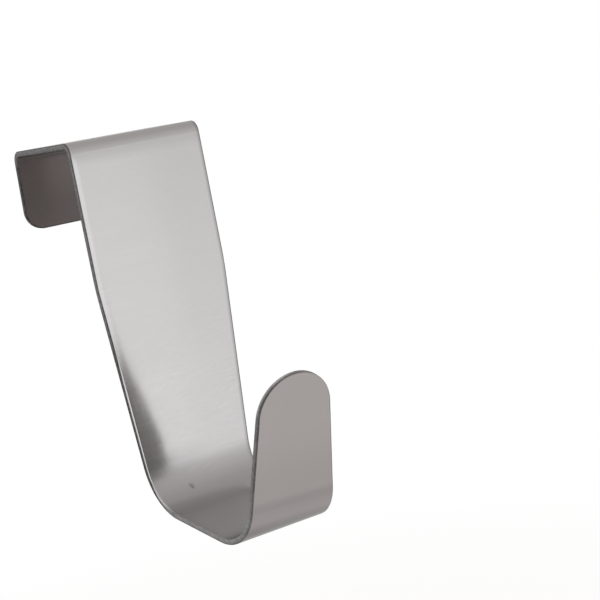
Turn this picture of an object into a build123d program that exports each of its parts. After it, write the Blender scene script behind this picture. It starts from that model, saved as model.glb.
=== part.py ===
from build123d import *
import math
import os

# Over door hook, folded from one flat blank of brushed stainless sheet.
# A short flange hangs behind the door, a level web lies on the door's top edge, and a long plate
# hangs down the front and curls up into an open hook. Below the knee the blank tapers evenly
# as far as a full round tip. All the way round, the arrises of the cut edge are broken.
# Frame: origin on the web's underside, in the middle of the strip and of the door gap.
# X runs across the strip, -Y points away from the front of the door, and Z is up.
# Sizes are in millimetres and degrees.

# Sheet
sheet_thickness = 1.8
strip_width = 45.0
arris_radius = 0.3

# Saddle over the door
door_gap = 36.5
rear_bend_radius = 1.8
front_bend_radius = 1.8
flange_length = 22.0
flange_corner_radius = 6.0
flange_splay = 3.0

# Plate down the front of the door
plate_length = 97.0
plate_lean = 1.2
knee_drop = 41.0
knee_radius = 100.0
taper_angle = 4.0

# Hook at the foot of the plate
heel_bend_radius = 14.0
floor_length = 21.5
floor_slope = 12.0
toe_bend_radius = 14.0
tongue_length = 40.0
tongue_lean = 19.5

# How far each bend turns the sheet follows from the leans of the flats beside it
right_angle = 90.0
rear_turn = right_angle - flange_splay
front_turn = right_angle - plate_lean
heel_turn = right_angle - plate_lean - floor_slope
toe_turn = right_angle + floor_slope - tongue_lean

half_thickness = sheet_thickness / 2
half_width = strip_width / 2
web_length = door_gap - rear_bend_radius - front_bend_radius

# Faces that meet at less than this angle run smoothly into each other
smooth_angle = 30.0


def bent_length(turn, inside_radius):
    """Length of a bend along the middle of the sheet."""
    return math.radians(turn) * (inside_radius + half_thickness)


def tapered(distance):
    """Half width of the blank at a distance beyond the knee, measured along the sheet."""
    return half_width - math.tan(math.radians(taper_angle)) * distance


# Distances beyond the knee, measured along the sheet
plate_end = plate_length - knee_drop
floor_start = plate_end + bent_length(heel_turn, heel_bend_radius)
floor_end = floor_start + floor_length
tongue_start = floor_end + bent_length(toe_turn, toe_bend_radius)
tongue_end = tongue_start + tongue_length


def along(length):
    """Step to the far end of a flat. Local Y runs along the sheet, and local Z into the saddle."""
    return Pos(0, length, 0)


def around(turn, inside_radius):
    """Step to the far end of a bend. A positive turn folds the sheet into the saddle."""
    to_axis = math.copysign(inside_radius + half_thickness, turn)
    return Pos(0, 0, to_axis) * Rot(X=turn) * Pos(0, 0, -to_axis)


def flat(outline):
    """Flat stretch of sheet with the given outline."""
    return extrude(outline, amount=half_thickness, both=True)


def bend(turn, inside_radius, near_half_width, far_half_width):
    """Bent stretch of sheet, whose width changes evenly along the arc."""
    middle = around(turn / 2, inside_radius)
    end = around(turn, inside_radius)
    path = ThreePointArc((0, 0, 0), middle.position, end.position)
    across = Rot(X=-right_angle)
    near = across * Rectangle(2 * near_half_width, sheet_thickness)
    far = end * across * Rectangle(2 * far_half_width, sheet_thickness)
    return sweep([near, far], path=path, multisection=True)


def band(length, near_half_width, far_half_width):
    """Outline of a straight flat, even or tapered."""
    corners = [
        (-near_half_width, 0),
        (near_half_width, 0),
        (far_half_width, length),
        (-far_half_width, length),
    ]
    return make_face(Polyline(*corners, close=True))


def flange_outline():
    """Outline of the flange, with the two corners of its free end rounded."""
    outline = band(flange_length, half_width, half_width)
    free_corners = outline.vertices().group_by(Axis.Y)[0]
    return fillet(free_corners, flange_corner_radius)


def plate_outline():
    """Outline of the plate, at full width as far as the knee and tapered beyond it."""
    above_knee = band(knee_drop, half_width, half_width)
    below_knee = band(plate_end, half_width, tapered(plate_end))
    outline = above_knee + along(knee_drop) * below_knee
    knees = outline.vertices().group_by(Axis.Y)[1]
    return fillet(knees, knee_radius)


def tongue_outline():
    """Outline of the tongue, whose tapered sides run at a tangent into a full round tip."""
    side_angle = math.radians(taper_angle)
    tip_radius = tapered(tongue_end) * math.cos(side_angle) / (1 - math.sin(side_angle))
    shoulder_x = tip_radius * math.cos(side_angle)
    shoulder_y = tongue_length - tip_radius * (1 - math.sin(side_angle))
    root_x = tapered(tongue_start)
    sides = Polyline((-shoulder_x, shoulder_y), (-root_x, 0), (root_x, 0), (shoulder_x, shoulder_y))
    tip = ThreePointArc((shoulder_x, shoulder_y), (0, tongue_length), (-shoulder_x, shoulder_y))
    return make_face(sides.edges() + tip.edges())


def stretches():
    """Each stretch of the sheet, from the flange's free end to the tip, with the step to the next."""
    rear = around(rear_turn, rear_bend_radius)
    front = around(front_turn, front_bend_radius)
    heel = around(-heel_turn, heel_bend_radius)
    toe = around(-toe_turn, toe_bend_radius)
    return [
        (flat(flange_outline()), along(flange_length)),
        (bend(rear_turn, rear_bend_radius, half_width, half_width), rear),
        (flat(band(web_length, half_width, half_width)), along(web_length)),
        (bend(front_turn, front_bend_radius, half_width, half_width), front),
        (flat(plate_outline()), along(plate_length)),
        (bend(-heel_turn, heel_bend_radius, tapered(plate_end), tapered(floor_start)), heel),
        (flat(band(floor_length, tapered(floor_start), tapered(floor_end))), along(floor_length)),
        (bend(-toe_turn, toe_bend_radius, tapered(floor_end), tapered(tongue_start)), toe),
        (flat(tongue_outline()), along(tongue_length)),
    ]


def free_end_place():
    """Place of the flange's free end, found by stepping back from the web."""
    web_rear = (0, door_gap / 2 - rear_bend_radius, half_thickness)
    web = Location(Plane(origin=web_rear, x_dir=(1, 0, 0), z_dir=(0, 0, -1)))
    return web * (along(flange_length) * around(rear_turn, rear_bend_radius)).inverse()


def folded_sheet():
    """The whole sheet, with its stretches joined end to end and its arrises still sharp."""
    place = free_end_place()
    placed = []
    for stretch, step in stretches():
        placed.append(place * stretch)
        place = place * step
    return placed[0].fuse(*placed[1:])


def arrises(sheet):
    """Edges where a face of the sheet meets its cut edge."""
    faces = sheet.faces()
    found = []
    for edge in sheet.edges():
        beside = [face for face in faces if any(edge.is_same(other) for other in face.edges())]
        first, second = [face.normal_at(edge @ 0.5) for face in beside]
        if first.get_angle(second) > smooth_angle:
            found.append(edge)
    return found


def hook_strip():
    """The finished hook, one solid."""
    sheet = folded_sheet()
    return fillet(arrises(sheet), arris_radius)


os.makedirs("parts", exist_ok=True)
export_step(hook_strip(), "parts/hook_strip.step")
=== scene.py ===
import math
from collections import namedtuple

import bpy
from mathutils import Matrix, Vector

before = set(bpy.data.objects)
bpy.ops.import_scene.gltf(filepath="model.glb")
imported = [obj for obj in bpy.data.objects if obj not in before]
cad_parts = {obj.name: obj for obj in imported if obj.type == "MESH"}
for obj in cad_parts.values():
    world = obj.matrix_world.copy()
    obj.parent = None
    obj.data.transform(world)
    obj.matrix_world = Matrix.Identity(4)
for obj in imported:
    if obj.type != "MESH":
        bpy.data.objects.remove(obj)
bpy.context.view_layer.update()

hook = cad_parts["hook_strip"]
scene = bpy.context.scene
scene.view_settings.view_transform = "Standard"

# The folded strip, in metres. Distances along it are measured in the middle of the sheet.
HALF_WIDTH = 0.0225
TAPER = math.tan(math.radians(4.0))
FLANGE_CORNER = 0.006
FLANGE_FOOT = (0, 0.020298, -0.023629)
FLANGE_RUN = (0, -0.05234, 0.99863)
FLANGE_FROM_Y = 0.01
SADDLE_FOOT_Z = -0.05
KNEE_Z = -0.04273
PLATE_BELOW_KNEE = 0.056
FLOOR_START = (0, -0.03298, -0.112985)
FLOOR_LENGTH = 0.0215
FLOOR_MIDDLE_Y = -0.0435
TONGUE_START = (0, -0.071153, -0.107854)
TONGUE_RUN = (0, -0.33381, 0.94264)
TIP_CENTRE = 0.0281

# A bend starts on the line from its axis along out, and the sheet leaves that line along run
Bend = namedtuple("Bend", "axis out run turn radius")
REAR_BEND = Bend(
    axis=(0, 0.01645, -0.0018),
    out=(0, 0, 1),
    run=(0, 1, 0),
    turn=math.radians(87.0),
    radius=0.0027,
)
FRONT_BEND = Bend(
    axis=(0, -0.01645, -0.0018),
    out=(0, 0, 1),
    run=(0, -1, 0),
    turn=math.radians(88.8),
    radius=0.0027,
)
HEEL = Bend(
    axis=(0, -0.03608, -0.09842),
    out=(0, 0.99978, -0.02094),
    run=(0, -0.02094, -0.99978),
    turn=math.radians(76.8),
    radius=0.0149,
)
TOE = Bend(
    axis=(0, -0.05711, -0.10289),
    out=(0, 0.20791, -0.97815),
    run=(0, -0.97815, -0.20791),
    turn=math.radians(82.5),
    radius=0.0149,
)

# Distances beyond the knee
HEEL_END = PLATE_BELOW_KNEE + HEEL.turn * HEEL.radius
TOE_START = HEEL_END + FLOOR_LENGTH
TOE_END = TOE_START + TOE.turn * TOE.radius

# Camera, where the photograph was taken from
CAMERA_PLACE = (-0.22627, -0.44030, 0.00421)
CAMERA_YAW = math.radians(-33.146)
CAMERA_DIP = math.radians(7.431)
CAMERA_ROLL = math.radians(-10.19)
CAMERA_LENS = 93.775
CAMERA_SENSOR = 36.0
CAMERA_CLIP = 0.01


def add_camera():
    """Camera that looks along +Y before it is turned by the yaw, the dip and the roll."""
    data = bpy.data.cameras.new("camera")
    data.lens = CAMERA_LENS
    data.sensor_width = CAMERA_SENSOR
    data.clip_start = CAMERA_CLIP
    camera = bpy.data.objects.new("camera", data)
    turn = (
        Matrix.Rotation(CAMERA_YAW, 4, "Z")
        @ Matrix.Rotation(math.radians(90) - CAMERA_DIP, 4, "X")
        @ Matrix.Rotation(CAMERA_ROLL, 4, "Z")
    )
    camera.matrix_world = Matrix.Translation(CAMERA_PLACE) @ turn
    scene.collection.objects.link(camera)
    scene.camera = camera


# The Mix node's sockets for each type of data, by number: the first, the second and the result
MIX_SOCKETS = {"FLOAT": (2, 3, 0), "VECTOR": (4, 5, 1), "RGBA": (6, 7, 2)}

# Nearly all the values of a noise lie between these two
NOISE_LOW, NOISE_HIGH = 0.3, 0.7

# A band along the strip rises over one pair of distances and falls over another
Band = namedtuple("Band", "rise fall strength", defaults=(1.0,))

# Below, a pair named RISES is where something comes in, and a pair named ENDS where it fades out


class Nodes:
    """Short calls that add nodes to one tree and link them."""

    def __init__(self, tree):
        self.tree = tree

    def add(self, kind, inputs=None, **settings):
        """A new node, with each input set to a value or linked to a socket."""
        node = self.tree.nodes.new(kind)
        for name, value in settings.items():
            setattr(node, name, value)
        for name, value in (inputs or {}).items():
            if isinstance(value, bpy.types.NodeSocket):
                self.tree.links.new(value, node.inputs[name])
            else:
                node.inputs[name].default_value = value
        return node

    def math(self, operation, first, second=0.0):
        return self.add("ShaderNodeMath", {0: first, 1: second}, operation=operation).outputs[0]

    def sum(self, first, *others):
        for other in others:
            first = self.math("ADD", first, other)
        return first

    def difference(self, first, second):
        return self.math("SUBTRACT", first, second)

    def product(self, first, *others):
        for other in others:
            first = self.math("MULTIPLY", first, other)
        return first

    def greater(self, first, second):
        """The greater of two numbers."""
        return self.math("MAXIMUM", first, second)

    def clamp(self, value, low, high):
        return self.math("MINIMUM", self.greater(value, low), high)

    def below(self, value, limit):
        """One below the limit, else none."""
        return self.math("LESS_THAN", value, limit)

    def above(self, value, limit):
        """One above the limit, else none."""
        return self.math("GREATER_THAN", value, limit)

    def length(self, first, second):
        """Length of the slanted side over two square ones."""
        squares = [self.math("POWER", side, 2.0) for side in (first, second)]
        return self.math("SQRT", self.sum(*squares))

    def vector(self, operation, first, second=(0, 0, 0), output="Vector"):
        inputs = {0: first, 1: second}
        return self.add("ShaderNodeVectorMath", inputs, operation=operation).outputs[output]

    def scaled(self, vector, amount):
        """The vector times one number."""
        inputs = {0: vector, "Scale": amount}
        return self.add("ShaderNodeVectorMath", inputs, operation="SCALE").outputs["Vector"]

    def dot(self, first, second):
        return self.vector("DOT_PRODUCT", first, second, "Value")

    def distance(self, first, second):
        return self.vector("DISTANCE", first, second, "Value")

    def along(self, place, start, run):
        """How far a place is from a start, measured along a run."""
        return self.dot(self.vector("SUBTRACT", place, start), run)

    def split(self, vector):
        """The three parts of a vector."""
        return tuple(self.add("ShaderNodeSeparateXYZ", {"Vector": vector}).outputs)

    def join(self, **parts):
        """A vector of the parts named, with nothing in the others."""
        return self.add("ShaderNodeCombineXYZ", parts).outputs[0]

    def ramp(self, value, low, high, to_low=0.0, to_high=1.0):
        """Smooth step from one number below the low end to another above the high end."""
        inputs = {
            "Value": value,
            "From Min": low,
            "From Max": high,
            "To Min": to_low,
            "To Max": to_high,
        }
        node = self.add("ShaderNodeMapRange", inputs, interpolation_type="SMOOTHSTEP")
        return node.outputs["Result"]

    def fall(self, value, low, high):
        """One below the low end, and none above the high end."""
        return self.ramp(value, low, high, 1.0, 0.0)

    def band(self, value, band, *masks):
        """The band's strength between its rise and its fall, where the masks are one."""
        rise, fall = self.ramp(value, *band.rise), self.fall(value, *band.fall)
        return self.product(rise, fall, *masks, band.strength)

    def noise(self, vector, scale, detail=2.0, roughness=0.5):
        """Noise over a vector whose parts are scaled first."""
        scaled = self.vector("MULTIPLY", vector, scale)
        inputs = {"Vector": scaled, "Scale": 1.0, "Detail": detail, "Roughness": roughness}
        return self.add("ShaderNodeTexNoise", inputs).outputs["Fac"]

    def spread(self, noise, low, high):
        """A noise spread out between two numbers."""
        return self.ramp(noise, NOISE_LOW, NOISE_HIGH, low, high)

    def mix(self, amount, first, second, data_type="RGBA"):
        """The first where the amount is none, the second where it is one, else a blend."""
        first_input, second_input, output = MIX_SOCKETS[data_type]
        inputs = {0: amount, first_input: first, second_input: second}
        return self.add("ShaderNodeMix", inputs, data_type=data_type).outputs[output]

    def choose(self, choice, first, second):
        """The second number where the choice is one, and the first where it is none."""
        return self.mix(choice, first, second, "FLOAT")


def new_material(name):
    material = bpy.data.materials.new(name)
    material.use_nodes = True
    material.node_tree.nodes.clear()
    return material, Nodes(material.node_tree)


# World: white below and round the horizon, grey above it and darker still overhead
WHITE = (1.0, 1.0, 1.0, 1.0)
GREY_AHEAD = (0.61, 0.60, 0.595, 1.0)
GREY_BEHIND = (0.508, 0.498, 0.493, 1.0)
GREY_OVERHEAD = (0.488, 0.474, 0.464, 1.0)

# How far a direction points to the rear, where the sides take over from ahead, and behind from both
SIDES_TAKE_OVER = (-0.7, -0.3)
BEHIND_TAKES_OVER = (0.0, 0.7)

# How far a direction points up, where each grey starts and where it is full
GREY_STARTS_AHEAD = -0.25
GREY_STARTS_ASIDE = 0.05
GREY_IS_FULL = 0.36
GREY_BEHIND_RISES = (0.10, 0.32)
GREY_OVERHEAD_RISES = (0.40, 0.90)


def add_world():
    world = bpy.data.worlds.new("studio")
    world.use_nodes = True
    world.node_tree.nodes.clear()
    nodes = Nodes(world.node_tree)
    direction = nodes.add("ShaderNodeTexCoord").outputs["Generated"]
    _, rearward, up = nodes.split(direction)
    grey_starts = nodes.ramp(rearward, *SIDES_TAKE_OVER, GREY_STARTS_AHEAD, GREY_STARTS_ASIDE)
    ahead = nodes.mix(nodes.ramp(up, grey_starts, GREY_IS_FULL), WHITE, GREY_AHEAD)
    behind = nodes.mix(nodes.ramp(up, *GREY_BEHIND_RISES), WHITE, GREY_BEHIND)
    shade = nodes.mix(nodes.ramp(rearward, *BEHIND_TAKES_OVER), ahead, behind)
    shade = nodes.mix(nodes.ramp(up, *GREY_OVERHEAD_RISES), shade, GREY_OVERHEAD)
    background = nodes.add("ShaderNodeBackground", {"Color": shade, "Strength": 1.0})
    nodes.add("ShaderNodeOutputWorld", {"Surface": background.outputs["Background"]})
    scene.world = world


# Floor, below the hanging hook: its middle takes the shadow, and the rest is plain white
FLOOR_Z = -0.24
FLOOR_RADIUS = 1.6
FLOOR_SIDES = 96
FLOOR_COLOUR = (0.62, 0.62, 0.62, 1.0)
FLOOR_LIFT = 0.585
FLOOR_WHITE_RISES = (0.2, 0.45)


def floor_material():
    """Pale floor that reads as white, but for the shadow that falls on it."""
    material, nodes = new_material("floor")
    path = nodes.add("ShaderNodeLightPath").outputs
    seen = nodes.greater(path["Is Camera Ray"], path["Is Glossy Ray"])
    seen = nodes.greater(seen, path["Is Transmission Ray"])
    place = nodes.add("ShaderNodeTexCoord").outputs["Object"]
    far = nodes.ramp(nodes.vector("LENGTH", place, output="Value"), *FLOOR_WHITE_RISES)
    diffuse = nodes.add("ShaderNodeBsdfDiffuse", {"Color": FLOOR_COLOUR})
    lift = nodes.add(
        "ShaderNodeEmission", {"Color": WHITE, "Strength": nodes.product(seen, FLOOR_LIFT)}
    )
    near = nodes.add("ShaderNodeAddShader", {0: diffuse.outputs[0], 1: lift.outputs[0]})
    white = nodes.add("ShaderNodeEmission", {"Color": WHITE, "Strength": 1.0})
    blend = nodes.add(
        "ShaderNodeMixShader",
        {0: nodes.product(far, seen), 1: near.outputs[0], 2: white.outputs[0]},
    )
    nodes.add("ShaderNodeOutputMaterial", {"Surface": blend.outputs[0]})
    return material


def add_floor():
    bpy.ops.mesh.primitive_circle_add(
        vertices=FLOOR_SIDES, radius=FLOOR_RADIUS, fill_type="NGON", location=(0, 0, FLOOR_Z)
    )
    floor = bpy.context.object
    floor.name = "floor"
    floor.data.materials.append(floor_material())


# Flat lamps, each facing its target and as bright as a surface of its radiance
Lamp = namedtuple("Lamp", "name place target size radiance")
LAMPS = (
    Lamp("front_softbox", (-0.25, -1.3, 0.15), (0, 0, -0.06), (1.5, 0.9), 0.16),
    Lamp("front_panel", (0.0, -1.3, -0.09), (0, 0, -0.06), (1.4, 0.28), 0.15),
    Lamp("left_softbox", (-0.9, -0.7, 0.1), (0, -0.03, -0.06), (0.5, 0.7), 0.45),
    Lamp("overhead_softbox", (0.0, -0.04, 1.2), (0, -0.04, -0.06), (0.9, 0.9), 0.8),
)


def add_lamps():
    for lamp in LAMPS:
        data = bpy.data.lights.new(lamp.name, "AREA")
        data.shape = "RECTANGLE"
        data.size, data.size_y = lamp.size
        data.energy = lamp.radiance * math.pi * lamp.size[0] * lamp.size[1]
        light = bpy.data.objects.new(lamp.name, data)
        away = Vector(lamp.place) - Vector(lamp.target)
        turn = away.to_track_quat("Z", "Y").to_matrix().to_4x4()
        light.matrix_world = Matrix.Translation(lamp.place) @ turn
        scene.collection.objects.link(light)


# How deep in the sheet the finish of its back gives way to that of its front
FRONT_RISES = (-0.0001, 0.0001)


class Sheet:
    """Where a point lies on the folded sheet, from its place alone, as sockets of one tree."""

    def __init__(self, nodes):
        self.place = nodes.add("ShaderNodeTexCoord").outputs["Object"]
        self.x, self.y, self.z = nodes.split(self.place)
        self.left = nodes.below(self.x, 0.0)
        self.before_door = nodes.below(self.y, 0.0)
        self.on_flange = nodes.above(self.y, FLANGE_FROM_Y)
        self.toe_side = nodes.below(self.y, FLOOR_MIDDLE_Y)
        self.up_tongue = nodes.along(self.place, TONGUE_START, TONGUE_RUN)
        self.distance, self.depth = self.along_and_across(nodes)
        self.front = nodes.ramp(self.depth, *FRONT_RISES)
        self.back = nodes.difference(1.0, self.front)
        self.inward = self.edge_distance(nodes)

    def round_bend(self, nodes, bend):
        """Angle of the point round a bend, and how far out it is from the sheet's middle there."""
        away = nodes.vector("SUBTRACT", self.place, bend.axis)
        out, run = nodes.dot(away, bend.out), nodes.dot(away, bend.run)
        angle = nodes.clamp(nodes.math("ARCTAN2", run, out), 0.0, bend.turn)
        reach = nodes.sum(
            nodes.product(out, nodes.math("COSINE", angle)),
            nodes.product(run, nodes.math("SINE", angle)),
        )
        return angle, nodes.difference(reach, bend.radius)

    def along_and_across(self, nodes):
        """Distance beyond the knee, and depth from the sheet's middle towards its front."""
        rear_out = self.round_bend(nodes, REAR_BEND)[1]
        front_out = self.round_bend(nodes, FRONT_BEND)[1]
        heel_angle, heel_out = self.round_bend(nodes, HEEL)
        toe_angle, toe_out = self.round_bend(nodes, TOE)
        saddle = nodes.choose(self.before_door, rear_out, front_out)
        hook_side = nodes.product(nodes.choose(self.toe_side, heel_out, toe_out), -1.0)
        depth = nodes.choose(nodes.below(self.z, SADDLE_FOOT_Z), saddle, hook_side)

        plate = nodes.clamp(nodes.difference(KNEE_Z, self.z), 0.0, PLATE_BELOW_KNEE)
        floor = nodes.clamp(nodes.along(self.place, FLOOR_START, TOE.run), 0.0, FLOOR_LENGTH)
        tongue = nodes.clamp(self.up_tongue, 0.0, TIP_CENTRE)
        rear = nodes.sum(plate, nodes.product(heel_angle, HEEL.radius), floor)
        fore = nodes.sum(floor, HEEL_END, nodes.product(toe_angle, TOE.radius), tongue)
        return nodes.choose(self.toe_side, rear, fore), depth

    def edge_distance(self, nodes):
        """How far the point is from the cut edge that runs round the blank."""
        across = nodes.math("ABSOLUTE", self.x)
        beyond_tip = nodes.greater(nodes.difference(self.up_tongue, TIP_CENTRE), 0.0)
        beyond_tip = nodes.product(beyond_tip, self.toe_side)
        width = nodes.difference(HALF_WIDTH, nodes.product(self.distance, TAPER))
        hook_side = nodes.difference(width, nodes.length(across, beyond_tip))

        up_flange = nodes.along(self.place, FLANGE_FOOT, FLANGE_RUN)
        down = nodes.greater(nodes.difference(FLANGE_CORNER, up_flange), 0.0)
        down = nodes.product(down, self.on_flange)
        out = nodes.greater(nodes.difference(across, HALF_WIDTH - FLANGE_CORNER), 0.0)
        flange_side = nodes.difference(FLANGE_CORNER, nodes.length(down, out))
        return nodes.math("MINIMUM", hook_side, flange_side)


# Lines of the brushing: scale of the noise from left to right, front to back and up, and its tone
GRAIN_SCALE = (14.0, 2200.0, 2200.0)
GRAIN_TONE = (-0.010, 0.0)
STROKE_SCALE = (260.0, 1700.0, 1700.0)
STROKE_TONE = (-0.016, 0.0)
STROKE_SWAY_SCALE = (90.0, 90.0, 90.0)
STROKE_SWAY = (-0.0006, 0.0006)
STREAK_SCALE = (10.0, 420.0, 420.0)
STREAK_TONE = (-0.003, 0.003)
HAIRLINE_SCALE = (110.0, 110.0, 2400.0)
HAIRLINE_SLANT = 0.35
HAIRLINE_RISES = (0.66, 0.75)
HAIRLINE_TONE = 0.035

# All the lines are stronger on the lower plate
LINES_STRENGTH = 0.55
LOWER_PLATE = Band((0.0, 0.045), (0.055, 0.068), 1.2)


def brushed_lines(nodes, sheet, grain):
    """Fine lines of the brushing on the faces, as small changes of lightness."""
    streaks = nodes.noise(sheet.place, STREAK_SCALE)
    sway = nodes.spread(nodes.noise(sheet.place, STROKE_SWAY_SCALE), *STROKE_SWAY)
    swayed = nodes.vector("ADD", sheet.place, nodes.join(Y=sway, Z=sway))
    strokes = nodes.noise(swayed, STROKE_SCALE)
    slanted = nodes.add(
        "ShaderNodeVectorRotate",
        {"Vector": sheet.place, "Angle": HAIRLINE_SLANT},
        rotation_type="Y_AXIS",
    )
    hairlines = nodes.noise(slanted.outputs[0], HAIRLINE_SCALE, detail=1.0)
    hairlines = nodes.ramp(hairlines, *HAIRLINE_RISES)
    lines = nodes.sum(
        nodes.product(nodes.spread(grain, *GRAIN_TONE), nodes.sum(1.0, sheet.back)),
        nodes.spread(strokes, *STROKE_TONE),
        nodes.spread(streaks, *STREAK_TONE),
        nodes.product(hairlines, sheet.front, HAIRLINE_TONE),
    )
    strength = nodes.sum(nodes.band(sheet.distance, LOWER_PLATE), LINES_STRENGTH)
    return nodes.product(lines, strength)


# Broad cloudy changes of lightness
CLOUD_SCALE = (45.0, 45.0, 45.0)
CLOUD_TONE = (-0.008, 0.008)

# Painted light on the left of the lower plate, and painted shade that starts the heel's shade
# sooner on its left
LEFT_SIDE_ENDS = (-0.007, 0.006)
PAINTED_LIGHT_LEFT = Band((0.022, 0.034), (0.050, 0.054), 0.045)
HEEL_PAINTED_SHADE_LEFT = Band((0.053, 0.0565), (0.058, 0.066), -0.065)

# Painted shade in bands on the outside of the toe and the foot of the tongue, which lie a little
# slanted
SLANT = 0.06
SLANT_SHIFT = -0.0006
TOE_RISES = (TOE_START, TOE_START + 0.006)
TOE_OUTSIDE_PAINTED_SHADE = Band(TOE_RISES, (TOE_END - 0.0015, TOE_END + 0.0025), -0.18)
TOE_UNDERSIDE_PAINTED_SHADE = Band(TOE_RISES, (TOE_END - 0.0105, TOE_END - 0.0044), -0.42)
TONGUE_FOOT_PAINTED_SHADE = Band((TOE_END - 0.003, TOE_END + 0.001), (TOE_END + 0.003, TOE_END + 0.024), -0.1)

# Painted shade inside the hook, on its floor and on the inside of the tongue
HOOK_FLOOR_RISES = (0.060, 0.072)
HOOK_FLOOR_PAINTED_SHADE = -0.15
TONGUE_INSIDE_PAINTED_SHADE = Band(
    (TOE_START - 0.002, TOE_START + 0.006), (TOE_END + 0.004, TOE_END + 0.03), -0.3
)

# Painted shade on the right rim of the plate, by the distances from the cut edge, to the right,
# back and along
RIGHT_RIM_ENDS = (0.0002, 0.0016)
RIGHT_SIDE_RISES = (0.002, 0.010)
RIGHT_RIM_ENDS_BACK = (-0.016, 0.0)
RIGHT_RIM_PAINTED_SHADE = (0.055, 0.065, -0.36, -0.2)

# Painted shade on the left rim of the hook's floor
LEFT_RIM_ENDS = (0.0003, 0.0018)
LEFT_RIM_PAINTED_SHADE = Band((0.070, 0.076), (0.094, 0.100), -0.09)

# Painted shade at the foot of the flange, by its height
FLANGE_FOOT_ENDS = (-0.018, -0.004)
FLANGE_FOOT_PAINTED_SHADE = -0.19

# A small ragged dark mark inside the hook
MARK_PLACE = (-0.00617, -0.02534, -0.1074)
MARK_ENDS = (0.0010, 0.0023)
MARK_TONE = -0.35
RAGGED_SCALE = (1300.0, 1300.0, 1300.0)
RAGGED_REACH = 0.0018


def face_tone(nodes, sheet, grain):
    """How light the sheet's face is from place to place, close to one: its brushing, clouds and a
    mark, with painted light and shade in many places.
    """
    distance, front, back = sheet.distance, sheet.front, sheet.back
    cloud = nodes.noise(sheet.place, CLOUD_SCALE)
    left_side = nodes.product(nodes.fall(sheet.x, *LEFT_SIDE_ENDS), front)
    slanted = nodes.sum(distance, nodes.product(sheet.x, SLANT), SLANT_SHIFT)
    hook_floor = nodes.ramp(distance, *HOOK_FLOOR_RISES)
    right_rim = nodes.product(
        nodes.fall(sheet.inward, *RIGHT_RIM_ENDS),
        nodes.ramp(sheet.x, *RIGHT_SIDE_RISES),
        nodes.fall(sheet.y, *RIGHT_RIM_ENDS_BACK),
        nodes.ramp(distance, *RIGHT_RIM_PAINTED_SHADE),
    )
    left_rim = nodes.product(nodes.fall(sheet.inward, *LEFT_RIM_ENDS), sheet.left)
    flange_foot = nodes.product(sheet.on_flange, nodes.fall(sheet.z, *FLANGE_FOOT_ENDS))
    ragged = nodes.product(nodes.noise(sheet.place, RAGGED_SCALE, detail=1.0), RAGGED_REACH)
    from_mark = nodes.sum(nodes.distance(sheet.place, MARK_PLACE), ragged)
    return nodes.sum(
        1.0,
        brushed_lines(nodes, sheet, grain),
        nodes.spread(cloud, *CLOUD_TONE),
        nodes.band(distance, PAINTED_LIGHT_LEFT, left_side),
        nodes.band(distance, HEEL_PAINTED_SHADE_LEFT, left_side),
        nodes.band(slanted, TOE_OUTSIDE_PAINTED_SHADE, back),
        nodes.band(slanted, TOE_UNDERSIDE_PAINTED_SHADE, back),
        nodes.band(distance, LEFT_RIM_PAINTED_SHADE, left_rim, front),
        nodes.band(slanted, TONGUE_FOOT_PAINTED_SHADE, back),
        nodes.product(hook_floor, front, HOOK_FLOOR_PAINTED_SHADE),
        nodes.band(distance, TONGUE_INSIDE_PAINTED_SHADE, front),
        nodes.product(right_rim, front),
        nodes.product(flange_foot, back, FLANGE_FOOT_PAINTED_SHADE),
        nodes.product(nodes.fall(from_mark, *MARK_ENDS), MARK_TONE),
    )


# The sheared edge: its mottle, and the painted shade of its two arrises by the depth from the
# sheet's middle
CUT_FINISH = (0.172, 0.167, 0.168, 1.0)
ARRIS_PAINTED_SHADE = (0.105, 0.1, 0.099, 1.0)
BACK_ARRIS_ENDS = (-0.0006, -0.0004)
FRONT_ARRIS_RISES = (0.0005, 0.0008)
MOTTLE_SCALE = (900.0, 900.0, 900.0)
MOTTLE_DETAIL = 3.0
MOTTLE_ROUGHNESS = 0.6
MOTTLE_TONE = (0.72, 1.28)

# Painted shade and light on the edge: shade behind the door and light on the web, by place, then
# shade along the plate, light along the hook's floor and a painted highlight streak at the heel
FLANGE_EDGE_RISES = (0.015, 0.019)
FLANGE_EDGE_PAINTED_SHADE = -0.5
WEB_EDGE_RISES = (-0.004, -0.001)
WEB_EDGE_PAINTED_LIGHT = 0.12
PLATE_EDGE_PAINTED_SHADE = Band((0.0, 0.03), (0.062, 0.070), -0.6)
FLOOR_EDGE_PAINTED_LIGHT = Band((0.068, 0.076), (0.114, 0.132))
FLOOR_EDGE_TONE = (-0.0003, 0.0006, 0.38, 0.56)
HEEL_PAINTED_HIGHLIGHT = Band((0.0605, 0.065), (0.068, 0.0735), 3.3)
HEEL_PAINTED_HIGHLIGHT_RISES = (0.0001, 0.0006)

# A nick in the edge at the heel
NICK_PLACE = (-0.01803, -0.02344, -0.10631)
NICK_ENDS = (0.0003, 0.0008)
NICK_TONE = -0.7


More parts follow.
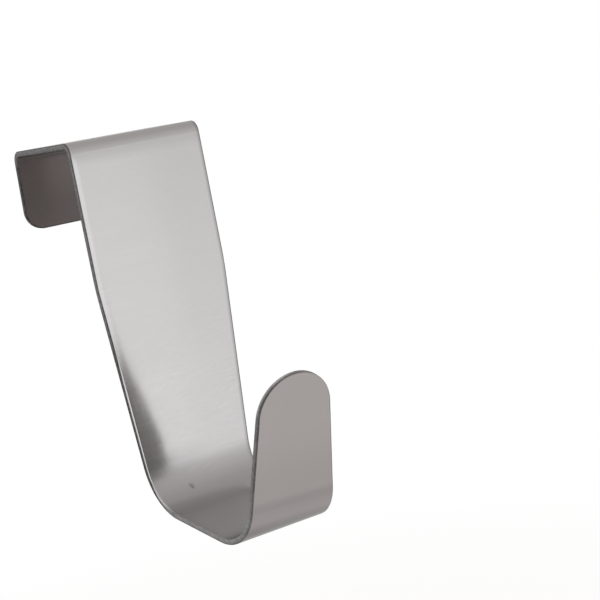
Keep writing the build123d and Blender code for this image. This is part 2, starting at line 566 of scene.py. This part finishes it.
def edge_finish(nodes, sheet, shaded_arris):
    """Colour of the sheared edge: mottled in the middle, with painted shade at its arrises and
    painted light and shade along it.
    """
    distance, depth = sheet.distance, sheet.depth
    back_arris = nodes.fall(depth, *BACK_ARRIS_ENDS)
    front_arris = nodes.product(nodes.ramp(depth, *FRONT_ARRIS_RISES), shaded_arris)
    colour = nodes.mix(nodes.greater(back_arris, front_arris), CUT_FINISH, ARRIS_PAINTED_SHADE)
    mottle = nodes.noise(sheet.place, MOTTLE_SCALE, MOTTLE_DETAIL, MOTTLE_ROUGHNESS)
    web = nodes.ramp(sheet.z, *WEB_EDGE_RISES)
    flange = nodes.product(nodes.ramp(sheet.y, *FLANGE_EDGE_RISES), nodes.difference(1.0, web))
    nick = nodes.fall(nodes.distance(sheet.place, NICK_PLACE), *NICK_ENDS)
    tone = nodes.sum(
        nodes.spread(mottle, *MOTTLE_TONE),
        nodes.product(web, WEB_EDGE_PAINTED_LIGHT),
        nodes.product(nick, NICK_TONE),
        nodes.product(flange, FLANGE_EDGE_PAINTED_SHADE),
        nodes.band(distance, PLATE_EDGE_PAINTED_SHADE),
        nodes.band(distance, FLOOR_EDGE_PAINTED_LIGHT, nodes.ramp(depth, *FLOOR_EDGE_TONE)),
        nodes.band(distance, HEEL_PAINTED_HIGHLIGHT, nodes.ramp(depth, *HEEL_PAINTED_HIGHLIGHT_RISES)),
    )
    return nodes.scaled(colour, tone)


# Soft roll beside the cut edge, from the shear. It fades down the plate and over the front bend.
ROLL_WIDTH = 0.0042
ROLL_POWER = 1.5
ROLL_TILT = (0.028, 0.066, 0.12, 0.0)
ROLL_ENDS_UP = (-0.0045, -0.001)

# Slight twist of the lower plate and of the heel
TWIST_RISES = (0.015, 0.03)
TWIST_ENDS = (0.062, 0.072)
PLATE_TWIST = (0.047, 0.056, -0.006, 0.006)
HEEL_TWIST = (0.0555, 0.0600, 0.0, -0.014)

# Polished lip on the left of the lower plate
LIP_ENDS = (0.0001, 0.0006)
LIP = Band((0.015, 0.035), (0.060, 0.072), -0.45)

# Slow start of the front bend, by its height
SPRING_RISES = (-0.0065, -0.0018)
SPRING_TILT = (-0.0018, 0.0005, 0.07, 0.0)


def shaped_normal(nodes, sheet, cut):
    """Normal of the faces, tilted by the roll, the twist, the lip and the bend's slow start."""
    distance = sheet.distance
    roll = nodes.product(
        nodes.math("POWER", nodes.fall(sheet.inward, 0.0, ROLL_WIDTH), ROLL_POWER),
        nodes.ramp(distance, *ROLL_TILT),
        nodes.math("SIGN", sheet.x),
        nodes.fall(sheet.z, *ROLL_ENDS_UP),
        sheet.before_door,
    )
    twist = nodes.product(nodes.ramp(distance, *TWIST_RISES), nodes.ramp(distance, *PLATE_TWIST))
    twist = nodes.sum(twist, nodes.ramp(distance, *HEEL_TWIST))
    twist = nodes.product(twist, nodes.fall(distance, *TWIST_ENDS))
    lip = nodes.band(distance, LIP, nodes.fall(sheet.inward, *LIP_ENDS), sheet.left)
    spring = nodes.product(
        nodes.ramp(sheet.z, *SPRING_RISES),
        nodes.ramp(sheet.z, *SPRING_TILT),
        sheet.before_door,
    )
    tilt = nodes.join(X=nodes.sum(roll, twist, lip), Z=spring)
    tilt = nodes.scaled(tilt, nodes.product(sheet.front, nodes.difference(1.0, cut)))
    normal = nodes.add("ShaderNodeNewGeometry").outputs["Normal"]
    return nodes.vector("NORMALIZE", nodes.vector("ADD", normal, tilt))


# Finishes of the sheet's two faces, and painted shade on the inside of the rear bend
FRONT_FINISH = (0.645, 0.633, 0.632, 1.0)
BACK_FINISH = (0.382, 0.353, 0.348, 1.0)
RECESS_PAINTED_SHADE = (0.085, 0.078, 0.076, 1.0)
RECESS_RISES_UP = (-0.0023, -0.0005)
RECESS_RISES_BACK = (0.012, 0.016)

# Along the lower left of the front the arris has no painted shade and the edge's colour stops close
# to it; elsewhere the edge's colour reaches wider and the arris is darkened as painted shade
SHADED_ARRIS_ENDS = (0.015, 0.035)
SHADED_ARRIS_WIDTH = 0.00024
CUT_BORDER = 0.0002

# Roughness of the faces, and what the cut edge, the back and the heel add to it
FACE_ROUGHNESS = (0.155, 0.185)
CUT_ROUGHNESS = 0.165
BACK_ROUGHNESS = 0.05
HEEL_ROUGHNESS = Band((0.050, 0.060), (0.064, 0.074), 0.05)

# Height of the grain, in metres, and what the front adds to it
GRAIN_HEIGHT = 0.00000002
FRONT_GRAIN_HEIGHT = 0.0000001

# The gloss is stretched one way on the faces and another way on the cut edge
ANISOTROPY = 0.96
ANISOTROPY_TURN = 0.25
FACE_TANGENT = (1, 0, 0)
CUT_TANGENT = (0, 0.6, 0.8)


def steel_material():
    """Brushed stainless sheet, with its grain across the strip."""
    material, nodes = new_material("brushed_stainless")
    sheet = Sheet(nodes)
    # Where the arris takes painted shade: on the back, on the right, and on the front's left above
    # the lower plate
    shaded_arris = nodes.greater(sheet.back, nodes.above(sheet.x, 0.0))
    shaded_arris = nodes.greater(shaded_arris, nodes.fall(sheet.distance, *SHADED_ARRIS_ENDS))
    from_arris = nodes.difference(sheet.inward, nodes.product(shaded_arris, SHADED_ARRIS_WIDTH))
    cut = nodes.fall(from_arris, 0.0, CUT_BORDER)
    grain = nodes.noise(sheet.place, GRAIN_SCALE)

    # Painted shade on the inside of the rear bend, on the back of the sheet
    recess = nodes.product(
        nodes.ramp(sheet.z, *RECESS_RISES_UP),
        nodes.ramp(sheet.y, *RECESS_RISES_BACK),
        sheet.back,
    )
    colour = nodes.mix(sheet.front, BACK_FINISH, FRONT_FINISH)
    colour = nodes.mix(recess, colour, RECESS_PAINTED_SHADE)
    colour = nodes.scaled(colour, face_tone(nodes, sheet, grain))
    colour = nodes.mix(cut, colour, edge_finish(nodes, sheet, shaded_arris))

    roughness = nodes.sum(
        nodes.spread(grain, *FACE_ROUGHNESS),
        nodes.product(cut, CUT_ROUGHNESS),
        nodes.product(sheet.back, BACK_ROUGHNESS),
        nodes.band(sheet.distance, HEEL_ROUGHNESS),
    )
    height = nodes.sum(nodes.product(sheet.front, FRONT_GRAIN_HEIGHT), GRAIN_HEIGHT)
    bump = nodes.add(
        "ShaderNodeBump",
        {
            "Height": nodes.product(grain, height),
            "Strength": 1.0,
            "Distance": 1.0,
            "Normal": shaped_normal(nodes, sheet, cut),
        },
    )
    steel = nodes.add(
        "ShaderNodeBsdfPrincipled",
        {
            "Base Color": colour,
            "Metallic": 1.0,
            "Roughness": roughness,
            "Anisotropic": ANISOTROPY,
            "Anisotropic Rotation": ANISOTROPY_TURN,
            "Tangent": nodes.mix(cut, FACE_TANGENT, CUT_TANGENT, "VECTOR"),
            "Normal": bump.outputs[0],
        },
    )
    nodes.add("ShaderNodeOutputMaterial", {"Surface": steel.outputs[0]})
    return material


add_camera()
add_world()
add_floor()
add_lamps()
hook.material_slots[0].material = steel_material()
